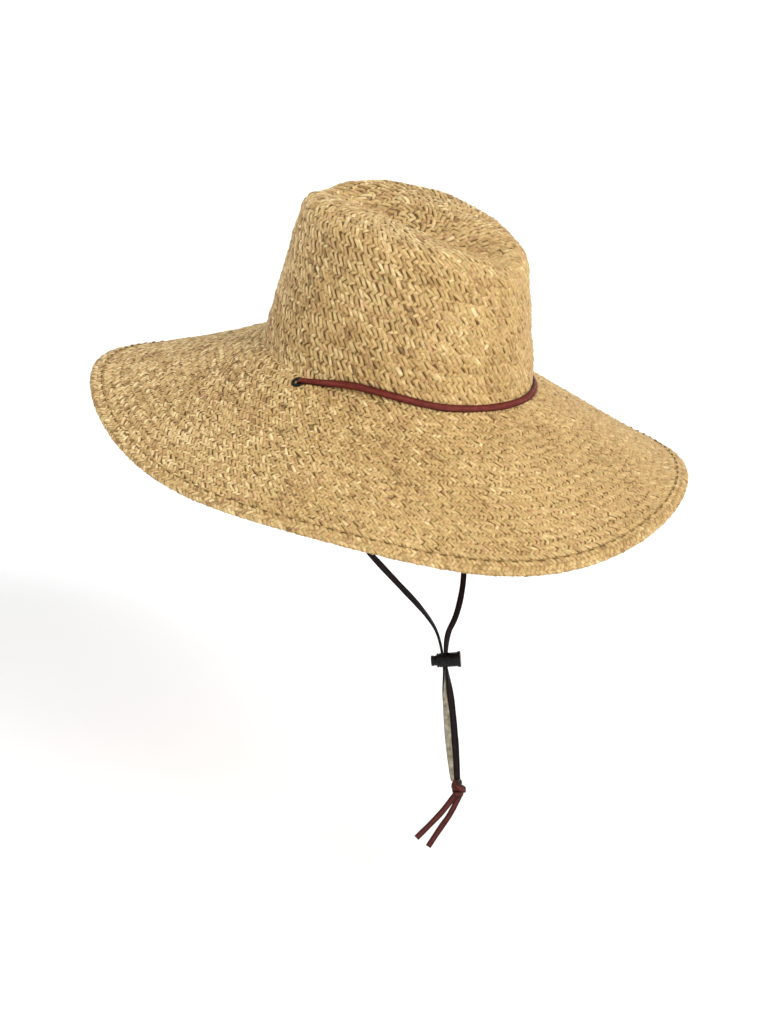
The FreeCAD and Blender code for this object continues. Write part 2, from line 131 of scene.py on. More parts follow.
def make_camera():
    data = bpy.data.cameras.new("camera")
    data.lens = CAMERA_LENS
    camera = bpy.data.objects.new("camera", data)
    scene.collection.objects.link(camera)
    right = CAMERA_LOOK.cross(CAMERA_UP).normalized()
    up = right.cross(CAMERA_LOOK).normalized()
    turn = Matrix((right, up, -CAMERA_LOOK)).transposed()
    camera.matrix_world = Matrix.Translation(CAMERA_AT) @ turn.to_4x4()
    scene.camera = camera


make_camera()


# ---- meshes ----

def grid_quads(rows, columns, wrap=False):
    """Faces of a rows x columns grid of points; wrap joins the last column to the first."""
    last = columns if wrap else columns - 1
    r, c = np.meshgrid(np.arange(rows - 1), np.arange(last), indexing="ij")
    a = r * columns + c
    b = r * columns + (c + 1) % columns
    return np.stack([a, b, b + columns, a + columns], -1).reshape(-1, 4)


def ring_quads(rows, columns):
    """Faces of a grid whose columns and rows both close on themselves."""
    return grid_quads(rows + 1, columns, wrap=True) % (rows * columns)


def end_caps(rows, columns):
    """The two ends of a tube of rows rings."""
    return [list(range(columns))[::-1], [(rows - 1) * columns + k for k in range(columns)]]


def repeated(faces, count, points_each):
    """The same faces for each of count like parts."""
    faces = np.asarray(faces)
    offsets = np.arange(count) * points_each
    return (faces[None] + offsets[:, None, None]).reshape(-1, faces.shape[1])


def mesh_object(name, points, quads, caps=()):
    """A mesh of four-sided faces, and caps with more sides."""
    mesh = bpy.data.meshes.new(name)
    points = np.asarray(points, np.float32).reshape(-1, 3)
    quads = np.asarray(quads, np.int32)
    corners = np.concatenate([quads.ravel()] + [np.asarray(cap, np.int32) for cap in caps])
    sizes = [4] * len(quads) + [len(cap) for cap in caps]
    starts = np.cumsum([0] + sizes[:-1])
    mesh.vertices.add(len(points))
    mesh.vertices.foreach_set("co", points.ravel())
    mesh.loops.add(len(corners))
    mesh.loops.foreach_set("vertex_index", corners)
    mesh.polygons.add(len(starts))
    mesh.polygons.foreach_set("loop_start", starts)
    mesh.polygons.foreach_set("use_smooth", [True] * len(starts))
    mesh.update(calc_edges=True)
    obj = bpy.data.objects.new(name, mesh)
    scene.collection.objects.link(obj)
    return obj


def set_vectors(obj, name, values):
    attribute = obj.data.attributes.new(name, "FLOAT_VECTOR", "POINT")
    attribute.data.foreach_set("vector", np.asarray(values, np.float32).ravel())


def unit(v):
    return v / np.maximum(np.linalg.norm(v, axis=-1, keepdims=True), 1e-12)


def boolean_cut(obj, cutters):
    """Takes the cutters out of the object's mesh and removes them."""
    for cutter in cutters:
        modifier = obj.modifiers.new("cut", "BOOLEAN")
        modifier.operation = "DIFFERENCE"
        modifier.solver = "EXACT"
        modifier.object = cutter
    graph = bpy.context.evaluated_depsgraph_get()
    cut = bpy.data.meshes.new_from_object(obj.evaluated_get(graph))
    obj.modifiers.clear()
    old, obj.data = obj.data, cut
    cut.name = old.name + "_cut"
    bpy.data.meshes.remove(old)
    for cutter in cutters:
        bpy.data.objects.remove(cutter)


def full_turn(count):
    """Evenly spaced angles, once round."""
    return np.linspace(0, 2 * math.pi, count, endpoint=False)


def spokes(axis, turn):
    """Unit vectors square to the axis, at the given angles round it."""
    x = axis.orthogonal().normalized()
    y = axis.cross(x)
    return np.outer(np.cos(turn), np.array(x)) + np.outer(np.sin(turn), np.array(y))


def lathe(name, origin, axis, profile, sides):
    """Turns a closed profile of (radius, along) points about an axis."""
    axis = axis.normalized()
    spoke = spokes(axis, full_turn(sides))
    rows = [np.array(origin) + along * np.array(axis) + radius * spoke for radius, along in profile]
    return mesh_object(name, np.stack(rows), ring_quads(len(profile), sides))


def tube(line, side, top, sides, radius):
    """Rings of points round a line; side and top are square to it."""
    turn = full_turn(sides)
    ring = np.cos(turn)[None, :, None] * side[:, None] + np.sin(turn)[None, :, None] * top[:, None]
    return line[:, None] + ring * radius


def rounded(corners, radius, steps=4):
    """A closed outline of (radius, along) corners, each rounded."""
    out = []
    count = len(corners)
    for k in range(count):
        before, here, after = (Vector(corners[(k + step) % count]) for step in (-1, 0, 1))
        a = (before - here).normalized()
        b = (after - here).normalized()
        reach = min(radius, 0.45 * (before - here).length, 0.45 * (after - here).length)
        for j in range(steps + 1):
            share = j / steps
            point = here + a * reach * (1 - share) ** 2 + b * reach * share ** 2
            out.append(tuple(point))
    return out


# ---- materials ----

def srgb(red, green, blue):
    """A colour given in 0..255, as linear light with alpha."""
    out = []
    for c in (red, green, blue):
        c = c / 255
        out.append(c / 12.92 if c <= 0.04045 else ((c + 0.055) / 1.055) ** 2.4)
    return (*out, 1.0)


class Finish:
    """A material under construction: its node tree, with short ways to add and join nodes."""

    def __init__(self, name, roughness=0.5, metallic=0.0):
        self.material = bpy.data.materials.new(name)
        self.material.use_nodes = True
        self.tree = self.material.node_tree
        self.shader = self.tree.nodes["Principled BSDF"]
        self.shader.inputs["Roughness"].default_value = roughness
        self.shader.inputs["Metallic"].default_value = metallic

    def feed(self, socket, value):
        """Joins the socket to another node's output, or gives it a fixed value."""
        if isinstance(value, bpy.types.NodeSocket):
            self.tree.links.new(value, socket)
        else:
            socket.default_value = value

    def node(self, kind, inputs, **settings):
        made = self.tree.nodes.new("ShaderNode" + kind)
        for key, value in settings.items():
            setattr(made, key, value)
        for key, value in inputs.items():
            self.feed(made.inputs[key], value)
        return made

    def set(self, name, value):
        self.feed(self.shader.inputs[name], value)

    def math(self, operation, a, b=0.0, clamp=False):
        return self.node("Math", {0: a, 1: b}, operation=operation, use_clamp=clamp).outputs[0]

    def attribute(self, name):
        return self.node("Attribute", {}, attribute_name=name).outputs["Vector"]

    def parts(self, vector):
        return tuple(self.node("SeparateXYZ", {0: vector}).outputs)

    def scaled(self, vector, x, y, z):
        return self.node("VectorMath", {0: vector, 1: (x, y, z)}, operation="MULTIPLY").outputs[0]

    def position(self):
        return self.node("TexCoord", {}).outputs["Object"]

    def noise(self, vector, scale, detail):
        return self.node("TexNoise", {"Vector": vector, "Scale": scale, "Detail": detail,
                                      "Roughness": 0.55}).outputs["Fac"]

    def ramp(self, value, stops):
        made = self.node("ValToRGB", {0: value})
        elements = made.color_ramp.elements
        while len(elements) < len(stops):
            elements.new(0.5)
        for element, (at, colour) in zip(elements, stops):
            element.position = at
            element.color = colour
        return made.outputs["Color"]

    def mix(self, factor, a, b):
        """Colour a where the factor is 0, b where it is 1."""
        return self.node("Mix", {0: factor, 6: a, 7: b}, data_type="RGBA").outputs[2]

    def range(self, value, low, high, to_low=0.0, to_high=1.0):
        return self.node("MapRange", {"Value": value, "From Min": low, "From Max": high,
                                      "To Min": to_low, "To Max": to_high}).outputs[0]

    def bump(self, height, distance, strength):
        made = self.node("Bump", {"Height": height, "Distance": distance, "Strength": strength})
        self.set("Normal", made.outputs[0])


def straw_finish(name, inside=False):
    """Split palm straw: every float has its own tone, with fibres along it and painted shade at its
    edges and ends, where it tucks under.

    Towards the back the strands differ more in tone, and their painted edge shade is deeper, standing
    in for the harder shadows of the grazing light there.
    """
    f = Finish(name)
    along, across, tone = f.parts(f.attribute("float"))
    fibre = f.noise(f.scaled(f.attribute("fibre"), 0.22, 3.0, 1.0), 1.0, 3.0)
    fine = f.noise(f.scaled(f.attribute("fibre"), 0.5, 9.0, 1.0), 1.0, 2.0)
    region = f.noise(f.position(), 16.0, 3.0)
    blotch = f.noise(f.position(), 330.0, 3.0)
    back = f.parts(f.position())[1]
    # Painted shade: towards the back the tones spread further and the painted edge shade below is
    # deeper.
    back_shade_contrast = f.range(back, -0.12, 0.08, 0.85, 1.95)
    value = f.math("ADD", tone, f.range(fibre, 0.3, 0.7, -0.16, 0.16))
    value = f.math("MULTIPLY", f.math("SUBTRACT", value, TONE), back_shade_contrast)
    value = f.math("ADD", value, f.range(blotch, 0.35, 0.65, 0.34, 0.7))
    # A little lighter towards the back, to keep the mean tone under the deeper painted shade there.
    value = f.math("ADD", value, f.range(back, -0.12, 0.08, -0.03, 0.085))
    value = f.math("ADD", value, f.range(region, 0.35, 0.65, -0.08, 0.08), clamp=True)
    colour = f.ramp(value, [(0.0, srgb(116, 84, 40)), (0.2, srgb(156, 122, 68)),
                            (0.45, srgb(187, 152, 94)), (0.7, srgb(204, 171, 110)),
                            (1.0, srgb(236, 212, 156))])
    seed = f.scaled(f.attribute("fibre"), 0.0, 0.0, 1.0)
    pick = f.node("TexWhiteNoise", {"Vector": seed}).outputs["Value"]
    colour = f.mix(f.range(pick, 0.82, 0.9, 0.0, 0.4), colour, srgb(206, 152, 120))
    colour = f.mix(f.range(pick, 0.2, 0.1, 0.0, 0.4), colour, srgb(176, 166, 108))
    # Painted shade: each float darkens towards its edges and ends, where it tucks under the next
    # strands.
    edge = f.math("POWER", f.math("ABSOLUTE", across), 4.0)
    end = f.math("POWER", f.math("ABSOLUTE", along), 5.0)
    rim = f.math("MULTIPLY", f.math("MAXIMUM", edge, end), 0.66)
    shade = f.math("MULTIPLY", rim, back_shade_contrast, clamp=True)
    colour = f.mix(shade, colour, srgb(98, 68, 30))
    speck = f.range(f.noise(f.position(), 800.0, 2.0), 0.66, 0.74, 0.0, 0.45)
    colour = f.mix(speck, colour, srgb(112, 78, 38))
    if inside:
        colour = f.mix(0.25, colour, srgb(176, 136, 82))
    f.set("Base Color", colour)
    f.set("Roughness", f.range(fine, 0.3, 0.7, 0.42, 0.62))
    f.set("Specular IOR Level", 0.42)
    f.bump(f.math("ADD", fibre, f.math("MULTIPLY", fine, 0.5)), 0.00022, 0.7)
    return f.material


def gap_finish(name, dark, middle, light):
    """What shows between the floats: the strands beneath, in shade."""
    f = Finish(name, 0.8)
    grain = f.noise(f.position(), 420.0, 4.0)
    f.set("Base Color", f.ramp(grain, [(0.3, dark), (0.5, middle), (0.72, light)]))
    f.bump(grain, 0.0006, 0.8)
    return f.material


def leather_finish(name, face, face_highlight, edge, flesh):
    """Flat lace: a dyed, worn face with a painted highlight down its middle, burnished edges, and a
    pale fibrous flesh side.
    """
    f = Finish(name)
    across, side, _ = f.parts(f.attribute("strap"))
    mottle = f.noise(f.position(), 260.0, 5.0)
    streak = f.noise(f.scaled(f.attribute("strap"), 2.0, 1.0, 60.0), 1.0, 4.0)
    grain = f.node("TexVoronoi", {"Vector": f.position(), "Scale": 1900.0}).outputs["Distance"]
    # Painted highlight: the face is lighter down its middle, in streaks along the lace.
    middle = f.range(f.math("ABSOLUTE", across), 0.05, 0.75, 0.85, 0.0)
    middle_highlight = f.math("MULTIPLY", middle, f.range(streak, 0.32, 0.62))
    colour = f.mix(middle_highlight, face, face_highlight)
    colour = f.mix(f.range(mottle, 0.45, 0.75, 0.0, 0.5), colour, edge)
    under = f.mix(f.range(mottle, 0.3, 0.7), flesh, srgb(98, 90, 74))
    colour = f.mix(f.range(side, 0.2, -0.2), colour, under)
    rim = f.range(f.math("ABSOLUTE", across), 0.82, 0.99)
    colour = f.mix(rim, colour, edge)
    f.set("Base Color", colour)
    f.set("Roughness", f.range(mottle, 0.3, 0.7, 0.45, 0.65))
    f.set("Specular IOR Level", 0.12)
    f.bump(f.math("ADD", grain, f.math("MULTIPLY", streak, 0.8)), 0.00012, 0.6)
    return f.material


def enamel_finish(name, tint, low, high):
    """Black enamel or moulded plastic: a hard gloss with fine scratches and handling marks."""
    f = Finish(name)
    haze = f.noise(f.position(), 320.0, 5.0)
    scratch = f.noise(f.scaled(f.position(), 900.0, 5200.0, 900.0), 1.0, 3.0)
    f.set("Base Color", f.mix(f.range(haze, 0.35, 0.75), tint, srgb(22, 22, 24)))
    f.set("Specular IOR Level", 0.16)
    f.set("Roughness", f.math("ADD", f.range(haze, 0.3, 0.7, low, high),
                              f.range(scratch, 0.55, 0.8, 0.0, 0.14)))
    f.bump(scratch, 0.00003, 0.35)
    return f.material


def steel_finish():
    f = Finish("drawn_steel", 0.3, 1.0)
    draw = f.noise(f.scaled(f.position(), 260.0, 260.0, 2600.0), 1.0, 4.0)
    f.set("Base Color", f.ramp(draw, [(0.3, srgb(120, 120, 118)), (0.7, srgb(188, 187, 182))]))
    f.set("Roughness", f.range(draw, 0.3, 0.7, 0.24, 0.42))
    f.bump(draw, 0.00003, 0.4)
    return f.material


def tape_finish():
    """Beige cotton tape in a fine twill."""
    f = Finish("cotton_tape", 0.85)
    cloth = f.attribute("cloth")
    twill = f.node("TexWave", {"Vector": f.scaled(cloth, 1.0, 1.0, 0.0), "Scale": 260.0,
                               "Distortion": 0.6, "Detail": 1.0}, bands_direction="DIAGONAL")
    warp = f.node("TexWave", {"Vector": f.scaled(cloth, 0.0, 1.0, 0.0), "Scale": 330.0},
                  bands_direction="Y")
    weave = f.math("MULTIPLY", twill.outputs["Fac"], f.range(warp.outputs["Fac"], 0, 1, 0.55, 1.0))
    soil = f.noise(f.position(), 45.0, 4.0)
    colour = f.ramp(weave, [(0.0, srgb(150, 130, 98)), (0.55, srgb(206, 188, 152)),
                            (1.0, srgb(226, 211, 180))])
    f.set("Base Color", f.mix(f.range(soil, 0.45, 0.8, 0.0, 0.4), colour, srgb(178, 156, 118)))
    f.set("Sheen Weight", 0.25)
    f.bump(weave, 0.0003, 0.8)
    return f.material


def thread_finish(name, light, dark):
    """Two-ply thread: the twist shows as slanted bands."""
    f = Finish(name, 0.7)
    ply = f.node("TexWave", {"Vector": f.attribute("thread"), "Scale": 1.0, "Distortion": 0.8,
                             "Detail": 2.0}, bands_direction="DIAGONAL")
    fuzz = f.noise(f.position(), 1500.0, 3.0)
    colour = f.mix(f.range(ply.outputs["Fac"], 0.2, 0.8), dark, light)
    f.set("Base Color", f.mix(f.range(fuzz, 0.5, 0.75, 0.0, 0.4), colour, dark))
    f.bump(ply.outputs["Fac"], 0.00015, 0.9)
    return f.material


STRAW_OUT = straw_finish("plaited_straw")
STRAW_IN = straw_finish("plaited_straw_inside", inside=True)
STRAW_GAP = gap_finish("straw_gap", srgb(76, 52, 22), srgb(112, 82, 40), srgb(146, 110, 62))
HEM_GAP = gap_finish("hem_gap", srgb(132, 100, 52), srgb(160, 126, 72), srgb(184, 148, 92))
# The second colour of each lace is its painted highlight down the middle of the face.
BAND_LEATHER = leather_finish("lace_band", srgb(88, 28, 20), srgb(126, 58, 46), srgb(46, 14, 11),
                              srgb(160, 142, 120))
HANGING_LEATHER = leather_finish("lace_hanging", srgb(12, 7, 7), srgb(42, 19, 19),
                                 srgb(9, 7, 8), srgb(160, 153, 132))
KNOT_LEATHER = leather_finish("lace_knot", srgb(66, 27, 24), srgb(106, 52, 44), srgb(28, 13, 12),
                              srgb(156, 140, 122))
ENAMEL = enamel_finish("black_enamel", srgb(9, 9, 10), 0.18, 0.34)
PLASTIC = enamel_finish("black_plastic", srgb(11, 11, 12), 0.2, 0.36)
STEEL = steel_finish()
TAPE = tape_finish()
HEM_THREAD = thread_finish("hem_thread", srgb(134, 106, 54), srgb(98, 76, 36))
BAND_THREAD = thread_finish("band_thread", srgb(222, 206, 172), srgb(150, 130, 98))


def set_material(obj, material):
    obj.data.materials.clear()
    obj.data.materials.append(material)


def finish_piece(obj, body, material, replaced=None):
    """Gives a piece its material and body, and hides the CAD node it stands for."""
    set_material(obj, material)
    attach(obj, body)
    if replaced:
        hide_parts(replaced)
    return obj


# ---- lace and cords ----

def spline_line(points):
    """Points read from the NURBS spline that has the route's points as its control points."""
    curve = bpy.data.curves.new("route", "CURVE")
    curve.dimensions = "3D"
    spline = curve.splines.new("NURBS")
    spline.points.add(len(points) - 1)
    for made, point in zip(spline.points, points):
        made.co = (*point, 1.0)
    spline.order_u = 3
    spline.use_endpoint_u = True
    spline.resolution_u = 16
    carrier = bpy.data.objects.new("route", curve)
    mesh = bpy.data.meshes.new_from_object(carrier)
    line = np.array([v.co[:] for v in mesh.vertices])
    bpy.data.objects.remove(carrier)
    bpy.data.curves.remove(curve)
    bpy.data.meshes.remove(mesh)
    return line


def line_shares(line):
    """How far along the line each point is, 0 to 1, and the line's length."""
    steps = np.linalg.norm(np.diff(line, axis=0), axis=1)
    run = np.concatenate([[0], np.cumsum(steps)])
    return run / run[-1], run[-1]


def strap_profile(width, thick):
    """Rectangle of (across, up) points with rounded corners and slightly crowned faces."""
    w, t = width / 2, thick / 2
    round_by = 0.32 * thick
    out = []
    for corner_w, corner_t, start in ((w, t, 0), (-w, t, 90), (-w, -t, 180), (w, -t, 270)):
        cw = corner_w - math.copysign(round_by, corner_w)
        ct = corner_t - math.copysign(round_by, corner_t)
        for k in range(4):
            turn = math.radians(start + 30 * k)
            out.append((cw + round_by * math.cos(turn), ct + round_by * math.sin(turn)))
        if start in (0, 180):
            crown = 0.06 * thick * math.copysign(1, corner_t)
            for share in (0.5, 0.0, -0.5):
                across = share * (w - round_by) * math.copysign(1, corner_w)
                out.append((across, corner_t + crown))
    return np.array(out)


def strap(name, line, across, width=LACE_WIDTH, thick=LACE_THICK, waver=0.03, seed=0, spread=1.0):
    """A flat lace along the line; across is the direction of its width at each point."""
    line = np.asarray(line, float)
    tangent = unit(np.gradient(line, axis=0))
    across = unit(across - (across * tangent).sum(1, keepdims=True) * tangent)
    up = np.cross(tangent, across)
    profile = strap_profile(width, thick)
    shares, length = line_shares(line)
    phase = 1.7 * seed
    wave = np.sin(shares * length * 160 + phase) + 0.6 * np.sin(shares * length * 370 + phase)
    swell = (1 + waver * wave) * spread
    points = (line[:, None] + (profile[None, :, 0:1] * swell[:, None, None]) * across[:, None]
              + profile[None, :, 1:2] * up[:, None])
    rows, columns = points.shape[:2]
    obj = mesh_object(name, points, grid_quads(rows, columns, wrap=True), end_caps(rows, columns))
    place = np.zeros((rows, columns, 3))
    place[..., 0] = profile[:, 0] / (width / 2)
    place[..., 1] = np.clip(profile[:, 1] / (thick / 2), -1, 1)
    place[..., 2] = (shares * length)[:, None] + seed
    set_vectors(obj, "strap", place)
    return obj


def turned(line, keys):
    """The width's direction along a strap, blended between (share, direction) keys."""
    at = [share for share, _ in keys]
    directions = unit(np.array([direction for _, direction in keys], float))
    shares, _ = line_shares(line)
    return unit(np.stack([np.interp(shares, at, axis) for axis in directions.T], -1))


def lock_point(down, along):
    return tuple(LOCK + LACE_DOWN * down + LOCK_AXIS * along)


# Where each strap's width points, at shares of its length.
IN_LOCK = LACE_DOWN.cross(LOCK_AXIS)
TURNS = {
    1: [(0.0, (1, 0, 0)), (0.25, (0.6, -0.8, 0)), (0.5, (0.42, -0.9, -0.15)),
        (0.85, (0.385, -0.91, -0.2)), (1.0, -IN_LOCK)],
    -1: [(0.0, (1, 0, 0)), (0.25, (0.65, -0.45, 0.6)), (0.6, (0.57, -0.49, 0.65)),
         (0.88, (0.8, 0.3, -0.3)), (1.0, -IN_LOCK)],
}
DROP_TURNS = [(0.0, IN_LOCK), (0.3, (-0.51, 0.85, -0.13)), (0.8, (-0.51, 0.85, -0.13)),
              (1.0, (-0.7, 0.7, -0.1))]
TAIL_TURNS = [(0.0, (0.4, -0.85, -0.2)), (0.4, (0.24, -0.87, -0.44)), (1.0, (0.24, -0.87, -0.44))]


def cord_lace(name, line, across, seed, material, node, spread=1.0):
    """A lace that hangs free; it still has to be given its body."""
    obj = strap(name, line, across, seed=seed, spread=spread)
    set_material(obj, material)
    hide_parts(node)
    return obj


def hanging_lace(side, name):
    """Eyelet to cord lock."""
    hinge = (side * HINGE[0], HINGE[1], HINGE[2])
    in_lock = [lock_point(down, side * LACE_OFFSET) for down in (-0.017, DROP_START)]
    line = spline_line([hinge] + HANGING_CORNERS[side] + in_lock)
    obj = cord_lace("hanging_lace_" + name, line, turned(line, TURNS[side]), side + 2,
                    HANGING_LEATHER, "chin_lace_" + name)
    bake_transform(obj)


def drop_lace(side, name):
    """Cord lock to knot, pressed a little wider below the lock."""
    start = lock_point(DROP_START, side * LACE_OFFSET)
    line = spline_line([start] + [lock_point(down, along) for down, along in DROP_CORNERS[side]])
    spread = 1 + 0.15 * np.clip(line_shares(line)[0] / 0.25, 0, 1)
    obj = cord_lace("doubled_lace_" + name, line, -side * turned(line, DROP_TURNS), side + 5,
                    HANGING_LEATHER, "drop_lace_" + name, spread)
    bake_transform(obj)


def lace_tail(side, name):
    """Below the knot."""
    line = spline_line(TAILS[side])
    obj = cord_lace("lace_end_" + name, line, turned(line, TAIL_TURNS), side + 8,
                    KNOT_LEATHER, "lace_tail_" + name)
    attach(obj, "chin_lace")


for lace_side, lace_name in ((1, "left"), (-1, "right")):
    hanging_lace(lace_side, lace_name)
    drop_lace(lace_side, lace_name)
    lace_tail(lace_side, lace_name)


# ---- the straw surface ----

def oval_normal(angle):
    x = np.sin(angle) / WALL_X
    y = -np.cos(angle) / WALL_Y
    n = np.hypot(x, y)
    return x / n, y / n


def oval(angle, out, z):
    """Point outside the crown wall's oval by out; angle from the front towards +X."""
    nx, ny = oval_normal(angle)
    x = WALL_X * np.sin(angle) + out * nx
    y = -WALL_Y * np.cos(angle) + out * ny
    return np.stack(np.broadcast_arrays(x, y, z), -1)


def top_height(y):
    """Height of the crown's top, which slopes down to the front."""
    ahead = SLOPE_START - y
    return CROWN_HEIGHT - FORWARD_SLOPE * 0.5 * (ahead + np.sqrt(ahead ** 2 + CROWN_SOFTNESS ** 2))


def crown_point(angle, wall, turn, top, inset):
    """wall 0..1 climbs the wall, turn rounds the corner, top 1..0 runs in over the top."""
    corner = CORNER - inset
    in_by = inset + corner * (1 - np.cos(turn))
    lean = wall * (CROWN_HEIGHT - CORNER - CROWN_BASE_Z)
    x = (WALL_X - TAPER_X * lean - in_by) * np.sin(angle) * top
    y = -(WALL_Y - TAPER_Y * lean - in_by) * np.cos(angle) * top
    z = CROWN_BASE_Z + wall * (top_height(y) - inset - corner - CROWN_BASE_Z) + corner * np.sin(turn)
    back = 1 / (1 + np.exp((y - CREASE_BACK) / CREASE_FADE))
    front = 1 / (1 + np.exp((CREASE_FRONT - y) / CREASE_FADE))
    deep = CREASE_LEAST + (1 - CREASE_LEAST) * back * front
    valley = CREASE_DEPTH * deep * np.exp(-(x / CREASE_HALF_WIDTH) ** 2)
    z = z - valley * wall ** 4 * (CREASE_LEAST + (1 - CREASE_LEAST) * np.sin(turn))
    near = np.exp(-((y - PINCH_Y) / PINCH_REACH_Y) ** 2 - ((z - PINCH_Z) / PINCH_REACH_Z) ** 2)
    x = x - np.sign(x) * PINCH_DEPTH * near * np.abs(x) / (np.abs(x) + PINCH_MIDDLE)
    return np.stack([x, y, z], -1)


FOLD_TURN = math.pi / 2 - math.atan(START_SLOPE)
FOLD_OUT = FOLD * (1 - math.cos(FOLD_TURN))
FOLD_Z = CROWN_BASE_Z - FOLD * math.sin(FOLD_TURN)
BRIM_RUN = BRIM_WIDTH - FOLD_OUT


def edge_height(angle):
    waves = sum(c * np.cos(k * angle) + s * np.sin(k * angle) for k, c, s in EDGE_WAVES)
    return waves - EDGE_DROP


def brim_height(out, edge):
    """Height and downward slope of the brim's top face, for the height of its edge."""
    bend = 2 * (FOLD_Z - edge - START_SLOPE * BRIM_RUN) / BRIM_RUN ** 2
    from_fold = out - FOLD_OUT
    z = FOLD_Z - START_SLOPE * from_fold - 0.5 * bend * from_fold ** 2
    return z, START_SLOPE + bend * from_fold


def brim_point(angle, out, below):
    """Point of the brim, below its top face, measured square to the face."""
    z, slope = brim_height(out, edge_height(angle))
    n = np.hypot(1, slope)
    return oval(angle, out - below * slope / n, z - below / n)


# The run from the middle of the top, over the corner, down the wall and out along the brim.
SLANT_SHARE = 1.1                   # the brim's own length over its plan width
AT_CORNER = 0.066
AT_WALL = AT_CORNER + CORNER * math.pi / 2
AT_FOLD = AT_WALL + CROWN_HEIGHT - CORNER - CROWN_BASE_Z
AT_BRIM = AT_FOLD + FOLD * FOLD_TURN
AT_HEM = AT_BRIM + (BRIM_RUN - HEM_WIDTH) * SLANT_SHARE


UNEVENNESS = 0.0005


def unevenness(angle, run):
    """Hand plaiting never lies quite flat."""
    fade = np.clip(run / 0.03, 0, 1) * np.clip((AT_HEM - run) / 0.02, 0, 1)
    ripple = np.sin(5 * angle + 70 * run) * np.sin(3 * angle - 45 * run + 1.0)
    return UNEVENNESS * fade * (ripple + 0.5 * np.sin(11 * angle + 160 * run + 2.0))


def hat_point(angle, run, below):
    """Point of the hat below its outer face, for the angle round it and the run from its middle."""
    below = below - unevenness(angle, run)
    top = np.where(run < AT_CORNER, run / AT_CORNER, 1.0)
    turn = np.clip((AT_WALL - run) / (AT_WALL - AT_CORNER), 0, 1) * math.pi / 2
    wall = np.clip((AT_FOLD - run) / (AT_FOLD - AT_WALL), 0, 1)
    crown = crown_point(angle, wall, turn, top, below)
    swing = np.clip((run - AT_FOLD) / (AT_BRIM - AT_FOLD), 0, 1) * FOLD_TURN
    radius = FOLD + below
    fold = oval(angle, FOLD - radius * np.cos(swing), CROWN_BASE_Z - radius * np.sin(swing))
    brim = brim_point(angle, FOLD_OUT + (run - AT_BRIM) / SLANT_SHARE, below)
    run = np.asarray(run)[..., None]
    return np.where(run < AT_FOLD, crown, np.where(run < AT_BRIM, fold, brim))


# ---- eyelet places ----

def eyelet_frame(side):
    """Origin on the brim's top face, and the unit vector out of the face."""
    z, slope = brim_height(EYELET_OUT, -EDGE_DROP)
    nx, ny = oval_normal(EYELET_ANGLE)
    origin = oval(EYELET_ANGLE, EYELET_OUT, z)
    normal = Vector((side * nx * slope, ny * slope, 1)).normalized()
    return Vector((side * origin[0], origin[1], origin[2])), normal


EYELETS = {side: eyelet_frame(side) for side in (1, -1)}
UNDER_FLANGE, CLEARING = FLANGE / 2 + 0.0002, 0.003


def clear_of_eyelets(points):
    """0 under an eyelet's flange, rising to 1 a little outside it."""
    clear = np.ones(points.shape[:-1])
    for origin, _ in EYELETS.values():
        away = np.linalg.norm(points - np.array(origin), axis=-1)
        clear = np.minimum(clear, np.clip((away - UNDER_FLANGE) / CLEARING, 0, 1))
    return clear


def pushed_from_holes(points):
    """Keeps straw out of the eyelets' barrels."""
    clear = BARREL / 2 + 0.0003
    for origin, normal in EYELETS.values():
        origin, normal = np.array(origin), np.array(normal)
        offset = points - origin
        along = (offset @ normal)[..., None] * normal
        sideways = offset - along
        reach = np.linalg.norm(sideways, axis=-1, keepdims=True)
        near = (reach < clear) & (np.linalg.norm(along, axis=-1, keepdims=True) < 0.006)
        moved = origin + along + sideways / np.maximum(reach, 1e-6) * clear
        points = np.where(near, moved, points)
    return points


# ---- plaited floats ----
# A float is the part of a strand that lies on top, between two places where it goes under.

COLUMN = 0.0040              # between two columns of floats; two columns make a row
SPACING = 0.0038             # between neighbours in a column
ADDED_SHARE = 1.11           # strands are added or dropped when the girth has changed this much
# The two kinds of float, which lean opposite ways in alternate columns.
HALF_LENGTHS = (0.0053, 0.0033)
HALF_WIDTHS = (0.0018, 0.00165)
WALL_SLANTS = (math.radians(54), math.radians(-42))
BRIM_SLANTS = (math.radians(40), math.radians(-48))
RISES = (0.00105, 0.00070)   # how far a float domes up
SINK = 0.00045               # its edges lie this far under the face
TUCK = 0.0007                # its ends go down this much further
FLANGE_SINK = 0.0004         # how far it lies under the face below an eyelet's flange
LENGTH_RANGE, WIDTH_RANGE, RISE_RANGE = (0.8, 1.15), (0.78, 1.12), (0.6, 1.35)
ANGLE_SPREAD, BOW_SPREAD, TILT_SPREAD = math.radians(9), 0.07, 0.16
AROUND_SPREAD = 0.07         # of a float's place in its column, in shares of the spacing
RUN_SPREAD = 0.0004
BRIM_FINENESS = 0.85         # size of the brim's floats against the crown's
BARE_INSIDE = 0.022          # no inner floats this far up the wall, behind the sweatband


def fineness(run):
    """Size of the floats: 1 on the crown, finer out on the brim."""
    return 1 - (1 - BRIM_FINENESS) * np.clip((run - AT_FOLD + 0.01) / 0.03, 0, 1)


def column_floats(run, kind, spiral, lead, spacing, rng, surface):
    """Angles and runs of one column of floats, which climbs by spiral in a turn from the back.

    lead shifts the column round the hat, and the second kind sits half a float further on.
    """
    ring = surface(np.linspace(0, 2 * math.pi, 121), np.full(121, max(run + spiral / 2, 0.003)), 0.0)
    girth = np.linalg.norm(np.diff(ring, axis=0), axis=1).sum()
    strands = math.log(max(girth / spacing, 4)) / math.log(ADDED_SHARE)
    count = round(ADDED_SHARE ** round(strands))
    angle = lead * 2 * math.pi / girth + 2 * math.pi * (np.arange(count) + 0.5 * kind) / count
    angle = angle + rng.normal(0, AROUND_SPREAD, count) * 2 * math.pi / count
    at = run + spiral * (((angle + math.pi) / (2 * math.pi)) % 1.0)
    at = at + rng.normal(0, RUN_SPREAD, count)
    return angle, at


